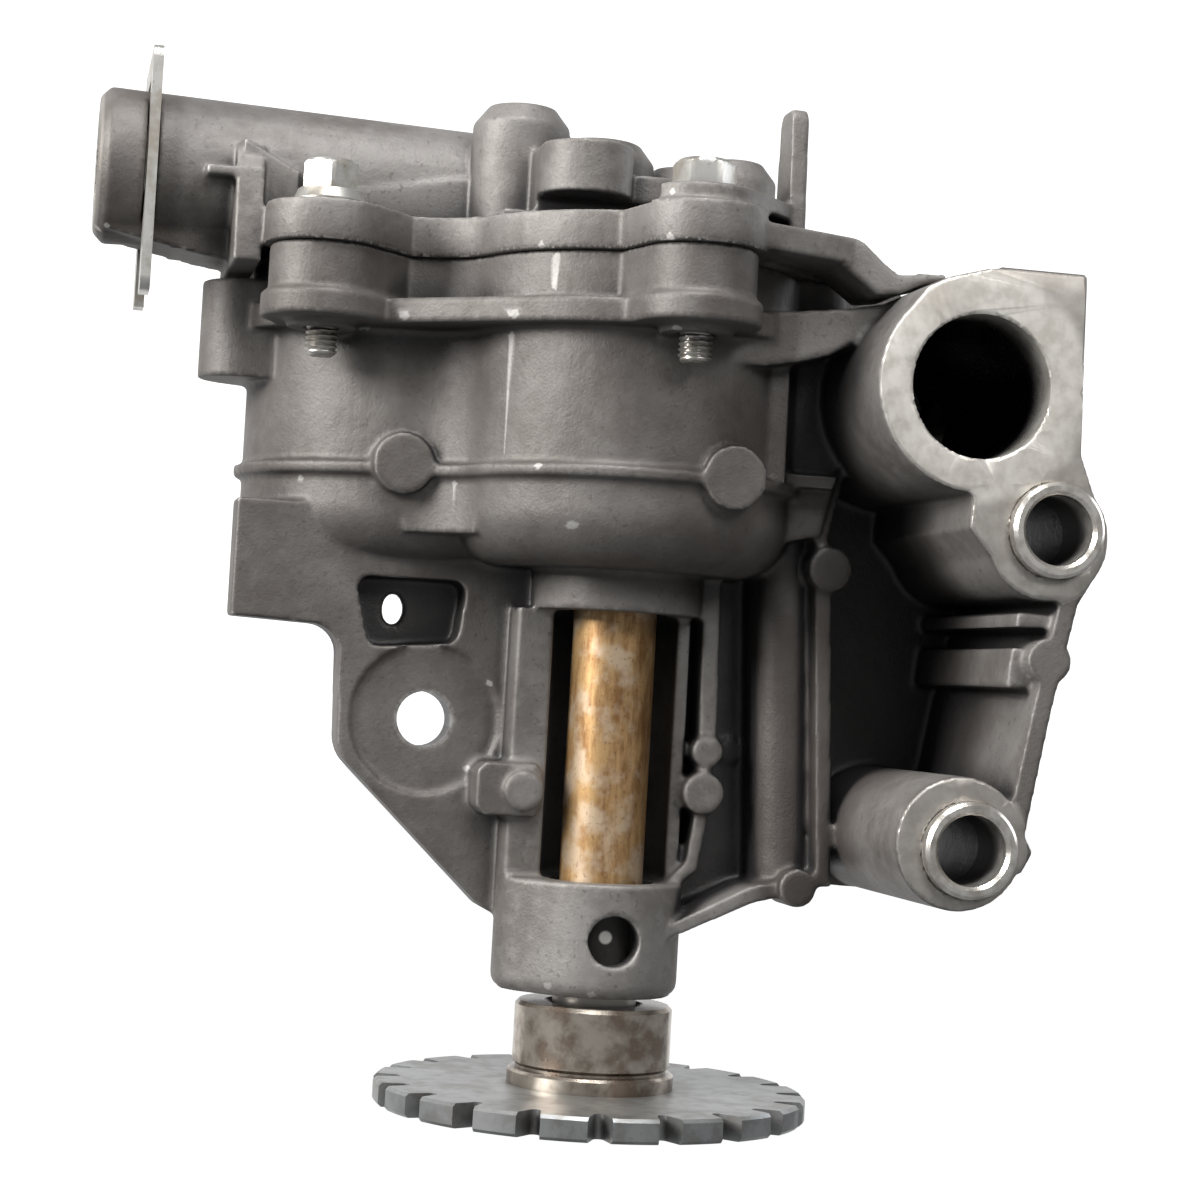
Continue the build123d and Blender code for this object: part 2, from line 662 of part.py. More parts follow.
with BuildPart() as top_cover:
    with BuildSketch(Plane.XY.offset(joint_z)):
        add(joint_outline(cover_edge))
    extrude(amount=cover_thickness)
    # bearing boss over the drive shaft
    with BuildSketch(Plane.XY.offset(joint_z)):
        Circle(bearing_boss_radius)
    extrude(amount=cover_thickness + bearing_boss_height)
    # arm on the right, its slope down to the block, and the upright tab
    with BuildSketch(Plane.XY.offset(arm_low)):
        with BuildLine():
            Polyline((bolt_spots[0][0], bolt_spots[0][1] - bolt_boss_radius), (arm_knee, arm_front),
                     (arm_knee, arm_front + arm_depth), (10.0, -10.0), (0.0, -20.0),
                     (bolt_spots[0][0], bolt_spots[0][1] - bolt_boss_radius))
        make_face()
    extrude(amount=arm_thickness)
    add(plate([(arm_knee - 2.3, arm_low), (arm_knee - 2.3, arm_low + arm_thickness),
               (arm_knee, arm_low + arm_thickness), (28.2, 129.3), (31.3, 126.6), (33.6, 125.0),
               (41.0, 125.8), (41.0, 124.9), (37.1, 123.8), (34.1, 122.3), (30.4, 121.8)],
              arm_front, arm_depth))
    with BuildSketch(Plane.XY.offset(cover_top)):
        add(hull_of([(bolt_boss_radius, *bolt_spots[0]), (5.0, tab_x - 4.0, tab_y)]))
    extrude(amount=ear_rise)
    with BuildSketch(Plane.YZ.offset(tab_x - tab_thickness / 2)):
        with BuildLine():
            FilletPolyline((tab_y - 4.5, joint_z + 1.0), (tab_y - 3.2, tab_top),
                           (tab_y + 3.2, tab_top), (tab_y + 4.5, joint_z + 1.0), radius=2.0)
            Line((tab_y + 4.5, joint_z + 1.0), (tab_y - 4.5, joint_z + 1.0))
        make_face()
    extrude(amount=tab_thickness)
    # domes over the relief passage, and the slotted lug in front of them
    for dome_x, dome_y, dome_radius, dome_top in domes:
        with BuildSketch(Plane.XY.offset(joint_z)):
            add(disc(dome_radius, dome_x, dome_y))
        extrude(amount=dome_top - joint_z - dome_round)
        with BuildSketch(Plane.XY.offset(dome_top - dome_round)):
            add(disc(dome_radius, dome_x, dome_y))
        extrude(amount=dome_round, taper=38)
    with BuildSketch(Plane.XY.offset(joint_z)):
        add(hull_of([(lug_radius, lug_x, lug_y), (lug_radius - 1.5, lug_x + 1.0, domes[1][1])]))
    extrude(amount=slot_low + slot_height / 2 - joint_z)
    with BuildSketch(Plane.XY.offset(slot_low)):
        add(hull_of([(lug_head_radius, lug_head_x, lug_head_y),
                     (lug_head_radius, lug_head_x, domes[1][1])]))
    extrude(amount=lug_top - slot_low)
    with BuildSketch(Plane.XY.offset(slot_low)):
        with Locations((lug_x, lug_y - lug_radius)):
            Rectangle(4 * lug_radius, 2 * slot_depth)
    extrude(amount=slot_height, mode=Mode.SUBTRACT)
    # left end wall and its ledge
    with BuildSketch(Plane.YZ.offset(end_wall_x)):
        with BuildLine():
            Polyline((-1.0, end_wall_low), (27.0, end_wall_low), (24.0, valve_z),
                     (4.0, valve_z + 3.0), (1.0, valve_z - 1.0), (-1.0, end_wall_low))
        make_face()
    extrude(amount=end_wall_thickness)
    add(plate([(-66.0, 135.8), (end_wall_x + 1.0, 135.8), (end_wall_x + 1.0, 137.2),
               (-66.0, 137.2)], 1.0, 8.0))
    add(plate([(end_wall_x + 1.0, 142.0), (-52.0, 137.6), (-52.0, cover_top - 1.0),
               (end_wall_x + 1.0, cover_top - 1.0)], 2.6, 6.0))
    # webs under the tube: left of the end wall, and down to the cover plate
    add(plate([(-80.0, 127.6), (-66.0, 124.9), (end_wall_x + 1.0, 124.2),
               (end_wall_x + 1.0, 134.0), (-80.0, 134.0)], 9.5, 13.0))
    add(plate([(end_wall_x + 1.0, cover_top - 3.0), (-18.0, cover_top - 3.0), (-18.0, 143.0),
               (-24.0, 140.0), (-38.0, 137.0), (end_wall_x + 1.0, 134.0)], 5.0, 19.0))
    # valve tube
    with BuildSketch(Plane(origin=(0, valve_y, valve_z), x_dir=(1, 0, 0), z_dir=(0, -1, 0))):
        with BuildLine():
            Polyline((valve_left, 0), (valve_left, valve_radius - 1.6),
                     (valve_left + 1.6, valve_radius), (valve_right, valve_radius - valve_draft),
                     (valve_right, 0), (valve_left, 0))
        make_face()
    revolve(axis=Axis((0, valve_y, valve_z), (1, 0, 0)))

    # cuts: valve bore, seat, inlet and spill ports, clip slots
    with BuildSketch(Plane.YZ.offset(valve_left - through)):
        with Locations((valve_y, valve_z)):
            Circle(valve_bore)
    extrude(amount=valve_seat_x - valve_left + through, mode=Mode.SUBTRACT)
    with BuildSketch(Plane.YZ.offset(valve_seat_x - through)):
        with Locations((valve_y, valve_z)):
            Circle(valve_seat_radius)
    extrude(amount=valve_port_x - valve_seat_x + through, mode=Mode.SUBTRACT)
    with BuildSketch(Plane.XY.offset(joint_z - through)):
        add(disc(valve_port_radius, valve_port_x, valve_port_y))
    extrude(amount=valve_z - joint_z + through, mode=Mode.SUBTRACT)
    with BuildSketch(face_plane(valve_y)):
        with Locations((spill_x, valve_z)):
            Circle(spill_radius)
    extrude(amount=-valve_radius - through, mode=Mode.SUBTRACT)
    with BuildSketch(Plane.XY.offset(clip_low)):
        with Locations((clip_x, valve_y - clip_width / 2), (clip_x, valve_y + clip_width / 2)):
            Rectangle(clip_thickness + seam, clip_width - clip_gap + 2 * seam)
    extrude(amount=clip_high - clip_low, mode=Mode.SUBTRACT)
    # cuts: shaft bush, ring recess, driven gear pin, bolts and dowels
    with BuildSketch(Plane.XY.offset(joint_z - through)):
        Circle(bush_outer + press_fit)
    extrude(amount=cover_bush_top - joint_z + through, mode=Mode.SUBTRACT)
    with BuildSketch(Plane.XY.offset(joint_z - through)):
        Circle(ring_outer + seam)
    extrude(amount=ring_recess + through, mode=Mode.SUBTRACT)
    with BuildSketch(Plane.XY.offset(joint_z - through)):
        add(disc(pin_radius + press_fit, driven_x, driven_y))
    extrude(amount=pin_in_cover + through, mode=Mode.SUBTRACT)
    with BuildSketch(Plane.XY.offset(joint_z - through)):
        with Locations(*bolt_spots):
            Circle(bolt_radius + thread_fit)
    extrude(amount=cover_thickness + 2 * through, mode=Mode.SUBTRACT)
    with BuildSketch(Plane.XY.offset(cover_top)):
        with Locations(*bolt_spots):
            Circle(bolt_flange_radius + thread_fit)
    extrude(amount=bolt_flange_height + bolt_head_height + through, mode=Mode.SUBTRACT)
    with BuildSketch(Plane.XY.offset(joint_z - through)):
        with Locations(*dowel_spots):
            Circle(dowel_radius + press_fit)
    extrude(amount=dowel_length / 2 + through, mode=Mode.SUBTRACT)
top_cover.part.label = "top_cover"
export_step(top_cover.part, "parts/top_cover.step")


# Drive shaft, its rings, key and gear

with BuildPart() as drive_shaft:
    with BuildSketch(Plane.XY.offset(shaft_bottom)):
        Circle(shaft_radius)
    extrude(amount=shaft_top - shaft_bottom)
    chamfer(drive_shaft.edges().filter_by(GeomType.CIRCLE), length=0.8)
    for ring_z in ring_heights:
        with BuildSketch(Plane.XY.offset(ring_z - ring_thickness / 2 - press_fit)):
            Circle(shaft_radius + through)
            Circle(shaft_radius - ring_groove, mode=Mode.SUBTRACT)
        extrude(amount=ring_thickness + 2 * press_fit, mode=Mode.SUBTRACT)
    with BuildSketch(Plane.XY.offset(gear_middle - key_length / 2)):
        with Locations((shaft_radius, 0)):
            Rectangle(key_size, key_size)
    extrude(amount=key_length, mode=Mode.SUBTRACT)
drive_shaft.part.label = "drive_shaft"
export_step(drive_shaft.part, "parts/drive_shaft.step")

with BuildPart() as drive_key:
    with BuildSketch(Plane.XY.offset(gear_middle - key_length / 2 + press_fit)):
        with Locations((shaft_radius, 0)):
            Rectangle(key_size - 2 * press_fit, key_size - 2 * press_fit)
    extrude(amount=key_length - 2 * press_fit)
drive_key.part.label = "drive_key"
export_step(drive_key.part, "parts/drive_key.step")


def retaining_ring(ring_z):
    """An open spring ring with two lugs at its gap, seated in a shaft groove."""
    with BuildPart(mode=Mode.PRIVATE) as ring:
        with BuildSketch(Plane.XY.offset(ring_z - ring_thickness / 2)):
            Circle(ring_outer)
            Circle(ring_inner, mode=Mode.SUBTRACT)
            with Locations((ring_outer, 0)):
                Rectangle(2 * ring_width + 2 * ring_groove, ring_gap, mode=Mode.SUBTRACT)
        extrude(amount=ring_thickness)
    return ring.part


gear_ring = retaining_ring(ring_heights[0])
gear_ring.label = "gear_retaining_ring"
export_step(gear_ring, "parts/gear_retaining_ring.step")

hub_ring = retaining_ring(ring_heights[1])
hub_ring.label = "hub_retaining_ring"
export_step(hub_ring, "parts/hub_retaining_ring.step")

with BuildPart() as drive_gear:
    with BuildSketch(Plane.XY.offset(chamber_floor + face_gap)):
        add(gear_sketch().rotate(Axis.Z, gear_line_angle))
        Circle(shaft_radius + press_fit, mode=Mode.SUBTRACT)
    extrude(amount=gear_length)
    with BuildSketch(Plane.XY.offset(gear_middle - key_length / 2)):
        with Locations((shaft_radius, 0)):
            Rectangle(key_size, key_size)
    extrude(amount=key_length, mode=Mode.SUBTRACT)
drive_gear.part.label = "drive_gear"
export_step(drive_gear.part, "parts/drive_gear.step")


# Driven gear on its pin

with BuildPart() as driven_gear:
    with BuildSketch(Plane.XY.offset(chamber_floor + face_gap)):
        with Locations((driven_x, driven_y)):
            add(gear_sketch().rotate(Axis.Z, gear_line_angle + 180 + 180 / gear_teeth))
        with Locations((driven_x, driven_y)):
            Circle(gear_bush_outer + press_fit, mode=Mode.SUBTRACT)
    extrude(amount=gear_length)
driven_gear.part.label = "driven_gear"
export_step(driven_gear.part, "parts/driven_gear.step")

with BuildPart() as driven_gear_bush:
    with BuildSketch(Plane.XY.offset(chamber_floor + face_gap)):
        add(disc(gear_bush_outer, driven_x, driven_y))
        with Locations((driven_x, driven_y)):
            Circle(pin_radius + running_fit, mode=Mode.SUBTRACT)
    extrude(amount=gear_length)
driven_gear_bush.part.label = "driven_gear_bush"
export_step(driven_gear_bush.part, "parts/driven_gear_bush.step")

with BuildPart() as driven_gear_pin:
    with BuildSketch(Plane.XY.offset(chamber_floor - pin_in_body)):
        add(disc(pin_radius, driven_x, driven_y))
    extrude(amount=pin_in_body + chamber_depth + pin_in_cover)
    chamfer(driven_gear_pin.edges().filter_by(GeomType.CIRCLE), length=0.8)
driven_gear_pin.part.label = "driven_gear_pin"
export_step(driven_gear_pin.part, "parts/driven_gear_pin.step")


def shaft_bush(low, high):
    """A plain bearing bush round the drive shaft."""
    with BuildPart(mode=Mode.PRIVATE) as bush:
        with BuildSketch(Plane.XY.offset(low)):
            Circle(bush_outer)
            Circle(shaft_radius + running_fit, mode=Mode.SUBTRACT)
        extrude(amount=high - low)
        chamfer(bush.edges().filter_by(GeomType.CIRCLE).group_by(SortBy.RADIUS)[-1], length=0.4)
    return bush.part


bush_heights = {
    "lower_shaft_bush": (column_bottom + 0.6, snout_top - 0.6),
    "upper_shaft_bush": (window_top + 1.0, chamber_floor - 1.0),
    "cover_shaft_bush": (joint_z + ring_recess, cover_bush_top),
}
for bush_name, (bush_low, bush_high) in bush_heights.items():
    bush_piece = shaft_bush(bush_low, bush_high)
    bush_piece.label = bush_name
    export_step(bush_piece, f"parts/{bush_name}.step")


# Sprocket and hub

with BuildPart() as sprocket_hub:
    with BuildSketch(Plane.XZ):
        with BuildLine():
            Polyline((shaft_radius + press_fit, -sprocket_thickness / 2),
                     (hub_spigot_radius, -sprocket_thickness / 2),
                     (hub_spigot_radius, sprocket_thickness / 2),
                     (hub_collar_radius, sprocket_thickness / 2),
                     (hub_collar_radius, collar_top - 0.4),
                     (hub_collar_radius - 0.4, collar_top),
                     (hub_radius - hub_groove, collar_top),
                     (hub_radius - hub_groove, collar_top + hub_groove),
                     (hub_radius, collar_top + 2 * hub_groove), (hub_radius, hub_top - 0.6),
                     (hub_radius - 0.6, hub_top), (shaft_radius + 1.2, hub_top),
                     (shaft_radius + press_fit, hub_top - 1.2), close=True)
        make_face()
    revolve(axis=Axis.Z)
sprocket_hub.part.label = "sprocket_hub"
export_step(sprocket_hub.part, "parts/sprocket_hub.step")

def tooth_gap():
    """One gap between two sprocket teeth, open towards +X."""
    root = sprocket_outer - notch_depth
    mouth = sprocket_outer + rim_chamfer
    with BuildSketch(Plane.XY, mode=Mode.PRIVATE) as gap:
        with BuildLine():
            Line((mouth, -notch_mouth / 2), (root, -notch_root / 2))
            ThreePointArc((root, -notch_root / 2), (root - notch_root / 3, 0),
                          (root, notch_root / 2))
            Polyline((root, notch_root / 2), (mouth, notch_mouth / 2), (mouth, -notch_mouth / 2))
        make_face()
    return gap.sketch


with BuildPart() as drive_sprocket:
    with BuildSketch(Plane.XZ):
        with BuildLine():
            Polyline((hub_spigot_radius + press_fit, -sprocket_thickness / 2),
                     (sprocket_outer - rim_chamfer, -sprocket_thickness / 2),
                     (sprocket_outer, -sprocket_thickness / 2 + rim_chamfer),
                     (sprocket_outer, sprocket_thickness / 2 - rim_chamfer),
                     (sprocket_outer - rim_chamfer, sprocket_thickness / 2),
                     (hub_spigot_radius + press_fit, sprocket_thickness / 2), close=True)
        make_face()
    revolve(axis=Axis.Z)
    with BuildSketch(Plane.XY.offset(-sprocket_thickness)):
        with PolarLocations(0, sprocket_teeth, start_angle=180 / sprocket_teeth):
            add(tooth_gap())
    extrude(amount=2 * sprocket_thickness, mode=Mode.SUBTRACT)
drive_sprocket.part.label = "drive_sprocket"
export_step(drive_sprocket.part, "parts/drive_sprocket.step")


# Relief valve: piston, spring, plug, seal and clip

with BuildPart() as relief_piston:
    with BuildSketch(Plane.YZ.offset(valve_seat_x - face_gap - piston_length)):
        with Locations((valve_y, valve_z)):
            Circle(valve_bore - running_fit)
    extrude(amount=piston_length)
    chamfer(relief_piston.edges().filter_by(GeomType.CIRCLE), length=0.5)
    with BuildSketch(Plane.YZ.offset(valve_seat_x - face_gap - piston_length - through)):
        with Locations((valve_y, valve_z)):
            Circle(valve_bore - running_fit - piston_wall)
    extrude(amount=piston_length - piston_crown + through, mode=Mode.SUBTRACT)
relief_piston.part.label = "relief_piston"
export_step(relief_piston.part, "parts/relief_piston.step")

with BuildPart() as relief_plug:
    with BuildSketch(Plane.YZ.offset(plug_left)):
        with Locations((valve_y, valve_z)):
            Circle(valve_bore - press_fit)
    extrude(amount=plug_length)
    with BuildSketch(Plane.YZ.offset(plug_left + plug_length)):
        with Locations((valve_y, valve_z)):
            Circle(spring_radius - spring_wire - seam)
    extrude(amount=plug_lip)
    with BuildSketch(Plane.YZ.offset(seal_x - seal_section - press_fit)):
        with Locations((valve_y, valve_z)):
            Circle(valve_bore + through)
            Circle(valve_bore - 2 * seal_section - 2 * press_fit, mode=Mode.SUBTRACT)
    extrude(amount=2 * seal_section + 2 * press_fit, mode=Mode.SUBTRACT)
relief_plug.part.label = "relief_plug"
export_step(relief_plug.part, "parts/relief_plug.step")

with BuildPart() as plug_seal:
    with BuildSketch(Plane(origin=(seal_x, valve_y, valve_z), x_dir=(1, 0, 0), z_dir=(0, -1, 0))):
        with Locations((0, valve_bore - seal_section - press_fit)):
            Circle(seal_section)
    revolve(axis=Axis((0, valve_y, valve_z), (1, 0, 0)))
plug_seal.part.label = "plug_seal"
export_step(plug_seal.part, "parts/plug_seal.step")

with BuildPart() as relief_spring:
    with BuildLine() as spring_path:
        Helix(pitch=spring_pitch, height=spring_pitch * spring_turns, radius=spring_radius,
              center=(spring_left + spring_wire, valve_y, valve_z), direction=(1, 0, 0))
    with BuildSketch(Plane(origin=spring_path.line @ 0, z_dir=spring_path.line % 0)):
        Circle(spring_wire)
    sweep(is_frenet=True)
relief_spring.part.label = "relief_spring"
export_step(relief_spring.part, "parts/relief_spring.step")

with BuildPart() as relief_clip:
    with BuildSketch(Plane.YZ.offset(clip_x - clip_thickness / 2)):
        with Locations((valve_y, (clip_low + clip_high) / 2)):
            RectangleRounded(clip_width, clip_high - clip_low, clip_corner)
        with Locations((valve_y, (clip_low + clip_bridge) / 2 - through)):
            Rectangle(clip_gap, clip_bridge - clip_low + 2 * through, mode=Mode.SUBTRACT)
    extrude(amount=clip_thickness)
relief_clip.part.label = "relief_clip"
export_step(relief_clip.part, "parts/relief_clip.step")


# Fasteners, dowels, sleeves and plug

with BuildPart() as cover_bolts:
    with BuildSketch(Plane.XY.offset(bolt_end)):
        with Locations(*bolt_spots):
            Circle(bolt_radius)
    extrude(amount=cover_top - bolt_end)
    with BuildSketch(Plane.XY.offset(cover_top)):
        with Locations(*bolt_spots):
            Circle(bolt_flange_radius)
    extrude(amount=bolt_flange_height)
    with BuildSketch(Plane.XY.offset(cover_top)):
        with Locations(*bolt_spots):
            RegularPolygon(bolt_head_flats / 2, 6, major_radius=False)
    extrude(amount=bolt_flange_height + bolt_head_height)
cover_bolts.part.label = "cover_bolts"
export_step(cover_bolts.part, "parts/cover_bolts.step")

with BuildPart() as cover_dowels:
    with BuildSketch(Plane.XY.offset(joint_z - dowel_length / 2)):
        with Locations(*dowel_spots):
            Circle(dowel_radius)
    extrude(amount=dowel_length)
cover_dowels.part.label = "cover_dowels"
export_step(cover_dowels.part, "parts/cover_dowels.step")


def dowel_sleeve(x, z):
    """A hollow dowel that stands out of the mounting face."""
    with BuildPart(mode=Mode.PRIVATE) as sleeve:
        with BuildSketch(face_plane(face_y - sleeve_stands_out)):
            with Locations((x, z)):
                Circle(sleeve_outer)
                Circle(sleeve_inner, mode=Mode.SUBTRACT)
        extrude(amount=-sleeve_length)
        chamfer(sleeve.edges().filter_by(GeomType.CIRCLE).group_by(Axis.Y)[0], length=0.5)
    return sleeve.part


upper_sleeve = dowel_sleeve(upper_sleeve_x, upper_sleeve_z)
upper_sleeve.label = "upper_mount_sleeve"
export_step(upper_sleeve, "parts/upper_mount_sleeve.step")

lower_sleeve = dowel_sleeve(lower_sleeve_x, lower_sleeve_z)
lower_sleeve.label = "lower_mount_sleeve"
export_step(lower_sleeve, "parts/lower_mount_sleeve.step")

with BuildPart() as passage_plug:
    with BuildSketch(Plane.YZ.offset(block_right - plug_depth)):
        with Locations((passage_y, passage_z)):
            Circle(passage_radius)
            Circle(passage_radius - 1.6, mode=Mode.SUBTRACT)
    extrude(amount=plug_depth)
    with BuildSketch(Plane.YZ.offset(block_right - plug_depth)):
        with Locations((passage_y, passage_z)):
            Circle(passage_radius - 1.6)
    extrude(amount=1.6)
passage_plug.part.label = "passage_plug"
export_step(passage_plug.part, "parts/passage_plug.step")
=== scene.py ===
"""Looks of the chain-driven engine oil pump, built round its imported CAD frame.

The frame is that of the CAD: +Z runs up along the drive shaft and the machined mounting face
looks along -Y. Lengths are written in millimetres and reach Blender in metres through MM.
"""
from math import cos, pi, radians, sin

import bmesh
import bpy
import numpy as np
from mathutils import Matrix, Vector


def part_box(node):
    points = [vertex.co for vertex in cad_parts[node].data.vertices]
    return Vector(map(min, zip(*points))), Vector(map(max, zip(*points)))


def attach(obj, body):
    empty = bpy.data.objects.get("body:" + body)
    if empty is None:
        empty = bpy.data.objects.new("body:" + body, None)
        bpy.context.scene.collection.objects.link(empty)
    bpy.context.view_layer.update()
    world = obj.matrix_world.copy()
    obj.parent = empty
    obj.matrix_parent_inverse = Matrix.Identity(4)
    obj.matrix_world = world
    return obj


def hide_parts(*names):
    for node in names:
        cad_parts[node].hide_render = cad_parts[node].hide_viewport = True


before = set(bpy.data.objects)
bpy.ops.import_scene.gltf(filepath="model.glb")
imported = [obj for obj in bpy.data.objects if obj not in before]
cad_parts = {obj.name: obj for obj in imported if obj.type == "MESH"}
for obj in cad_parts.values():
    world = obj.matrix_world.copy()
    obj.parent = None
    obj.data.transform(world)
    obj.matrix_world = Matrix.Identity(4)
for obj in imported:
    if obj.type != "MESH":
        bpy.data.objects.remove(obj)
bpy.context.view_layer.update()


# The camera stands to the left of the pump at half its height and looks slightly upward. It
# is rolled, so that the drive shaft leans in the picture.
MM = 0.001
camera_azimuth = radians(-12.0)
camera_elevation = radians(-2.1)
camera_roll = radians(3.2)
camera_place = Vector((-88.5, -404.5, 60.5)) * MM
camera_lens = 81.0

camera_back = Vector((sin(camera_azimuth) * cos(camera_elevation),
                      -cos(camera_azimuth) * cos(camera_elevation),
                      sin(camera_elevation)))
level_right = Vector((cos(camera_azimuth), sin(camera_azimuth), 0.0))
level_up = camera_back.cross(level_right)
camera_right = cos(camera_roll) * level_right + sin(camera_roll) * level_up
camera_up = cos(camera_roll) * level_up - sin(camera_roll) * level_right
camera_data = bpy.data.cameras.new("camera")
camera_data.lens = camera_lens
camera_data.clip_start = 0.01
camera_data.clip_end = 20.0
camera = bpy.data.objects.new("camera", camera_data)
camera_turn = Matrix((camera_right, camera_up, camera_back)).transposed().to_4x4()
camera.matrix_world = Matrix.Translation(camera_place) @ camera_turn
bpy.context.scene.collection.objects.link(camera)
bpy.context.scene.camera = camera


# A small studio: a broad soft lamp far to the left does most of the work, weak ones open the
# shadows, a pale bowl is floor and wall at once, and a white card behind gives the gloss.
def hang_lamp(name, place, target, width, power, tint=(1.0, 1.0, 1.0)):
    """A square soft lamp that looks at a target point; millimetres and watts."""
    data = bpy.data.lights.new(name, "AREA")
    data.size = width * MM
    data.energy = power
    data.color = tint
    lamp = bpy.data.objects.new(name, data)
    aim = (Vector(target) - Vector(place)).to_track_quat("-Z", "Y").to_matrix().to_4x4()
    lamp.matrix_world = Matrix.Translation(Vector(place) * MM) @ aim
    bpy.context.scene.collection.objects.link(lamp)


hang_lamp("key_lamp", (-600, -170, 330), (0, 0, 70), 280, 8.0, (1.0, 0.985, 0.96))
hang_lamp("top_lamp", (-60, -260, 600), (0, 0, 90), 240, 3.4)
hang_lamp("front_lamp", (230, -560, 430), (20, 0, 80), 200, 1.5, (1.0, 0.98, 0.95))
hang_lamp("rim_lamp", (420, 120, 200), (30, 0, 70), 220, 0.5, (0.93, 0.96, 1.0))

world = bpy.data.worlds.new("studio_air")
world.use_nodes = True
world.node_tree.nodes["Background"].inputs["Color"].default_value = (0.96, 0.98, 1.0, 1.0)
world.node_tree.nodes["Background"].inputs["Strength"].default_value = 0.3
bpy.context.scene.world = world
bpy.context.scene.view_settings.view_transform = "Standard"


def stage_sheet(name, points, faces, base, glow):
    """A plain sheet of the studio that glows a little by itself."""
    mesh = bpy.data.meshes.new(name)
    mesh.from_pydata([Vector(p) * MM for p in points], [], faces)
    mesh.shade_smooth()
    sheet = bpy.data.objects.new(name, mesh)
    bpy.context.scene.collection.objects.link(sheet)
    paint = bpy.data.materials.new(name)
    paint.use_nodes = True
    finish = paint.node_tree.nodes["Principled BSDF"].inputs
    finish["Base Color"].default_value = (base, base, base, 1)
    finish["Roughness"].default_value = 0.8
    finish["Emission Color"].default_value = (1, 1, 1, 1)
    finish["Emission Strength"].default_value = glow
    mesh.materials.append(paint)
    return sheet


floor_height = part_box("drive_shaft")[0].z / MM
floor_reach = 1800.0
bowl_bend = 1200.0
bowl_rim = 2600.0
bowl_turns = 96
bowl_steps = 12
bowl_line = []
for step in range(bowl_steps + 1):
    angle = pi / 2 * step / bowl_steps
    bowl_line.append((floor_reach + bowl_bend * sin(angle),
                      floor_height + bowl_bend * (1 - cos(angle))))
bowl_line.append((floor_reach + bowl_bend, bowl_rim))
bowl_angles = [2 * pi * turn / bowl_turns for turn in range(bowl_turns)]
bowl_points = [(reach * cos(angle), reach * sin(angle), height)
               for reach, height in bowl_line for angle in bowl_angles]
bowl_faces = [tuple(range(bowl_turns))]
for row in range(0, len(bowl_points) - bowl_turns, bowl_turns):
    for turn in range(bowl_turns):
        low, beside = row + turn, row + (turn + 1) % bowl_turns
        bowl_faces.append((low, beside, beside + bowl_turns, low + bowl_turns))
studio_bowl = stage_sheet("studio_bowl", bowl_points, bowl_faces, 0.8, 0.97)
studio_bowl.visible_diffuse = False
studio_bowl.visible_glossy = False
studio_bowl.visible_shadow = False

card_points = [(-900, 900, -800), (900, 900, -800), (900, 900, 900), (-900, 900, 900)]
white_card = stage_sheet("white_card", card_points, [(0, 1, 2, 3)], 0.0, 1.0)
white_card.visible_camera = False


# The pump body is one aluminium die casting: two gear lobes, the windowed shaft column, a
# flange on the left and the mounting block on the right. Only its mounting face, spot
# face and bores are machined; the rest keeps the skin of the die, dark with old oil and
# with painted shade in its hollows and recesses.
class Wire:
    """A socket in a material's nodes; arithmetic on it adds Math nodes."""

    def __init__(self, tree, socket=None):
        self.tree = tree
        self.socket = socket

    def node(self, kind, settings=None, values=None, output=0):
        """Adds a node: first its settings, then the values or links of its sockets."""
        made = self.tree.nodes.new(kind)
        for name, value in (settings or {}).items():
            setattr(made, name, value)
        for name, value in (values or {}).items():
            if isinstance(value, Wire):
                self.tree.links.new(value.socket, made.inputs[name])
            else:
                made.inputs[name].default_value = value
        return Wire(self.tree, made.outputs[output] if made.outputs else None)

    def maths(self, operation, *others):
        terms = dict(enumerate((self, *others)))
        return self.node("ShaderNodeMath", {"operation": operation}, terms)

    def __add__(self, other):
        return self.maths("ADD", other)

    __radd__ = __add__

    def __mul__(self, other):
        return self.maths("MULTIPLY", other)

    __rmul__ = __mul__

    def __sub__(self, other):
        return self.maths("SUBTRACT", other)

    def __rsub__(self, other):
        return (self * -1.0).maths("ADD", other)

    def rise(self, low, high):
        """0 below low, 1 above high and smooth between; falls when high is below low."""
        return self.node("ShaderNodeMapRange", {"interpolation_type": "SMOOTHSTEP"},
                         {"Value": self, "From Min": low, "From Max": high})

    def mix(self, first, second):
        """The first colour where this value is 0 and the second where it is 1."""
        first, second = [(*c, 1.0) if isinstance(c, tuple) else c for c in (first, second)]
        return self.node("ShaderNodeMix", {"data_type": "RGBA"}, {0: self, 6: first, 7: second}, 2)

    def noise(self, per_mm, detail=3.0, roughness=0.5):
        """Soft noise over a place in millimetres, from 0 to 1."""
        return self.node("ShaderNodeTexNoise", None,
                         {"Vector": self, "Scale": per_mm, "Detail": detail,
                          "Roughness": roughness})


def start_material(name):
    """An empty material, with the place on the piece in millimetres and its x, y and z."""
    material = bpy.data.materials.new(name)
    material.use_nodes = True
    material.node_tree.nodes.clear()
    tree = Wire(material.node_tree)
    place = tree.node("ShaderNodeTexCoord", output="Object")
    place = tree.node("ShaderNodeVectorMath", {"operation": "SCALE"}, {0: place, "Scale": 1 / MM})
    axes = [tree.node("ShaderNodeSeparateXYZ", None, {0: place}, axis) for axis in range(3)]
    return material, tree, place, axes


def close_material(tree, bump_height=None, **values):
    """The main shader, fed by names with spaces as underscores, and bumps in millimetres."""
    if bump_height is not None:
        values["Normal"] = tree.node("ShaderNodeBump", None,
                                     {"Height": bump_height, "Distance": MM, "Strength": 1.0})
    values = {name.replace("_", " "): (*value, 1.0) if isinstance(value, tuple) else value
              for name, value in values.items()}
    shader = tree.node("ShaderNodeBsdfPrincipled", None, values)
    tree.node("ShaderNodeOutputMaterial", None, {"Surface": shader})


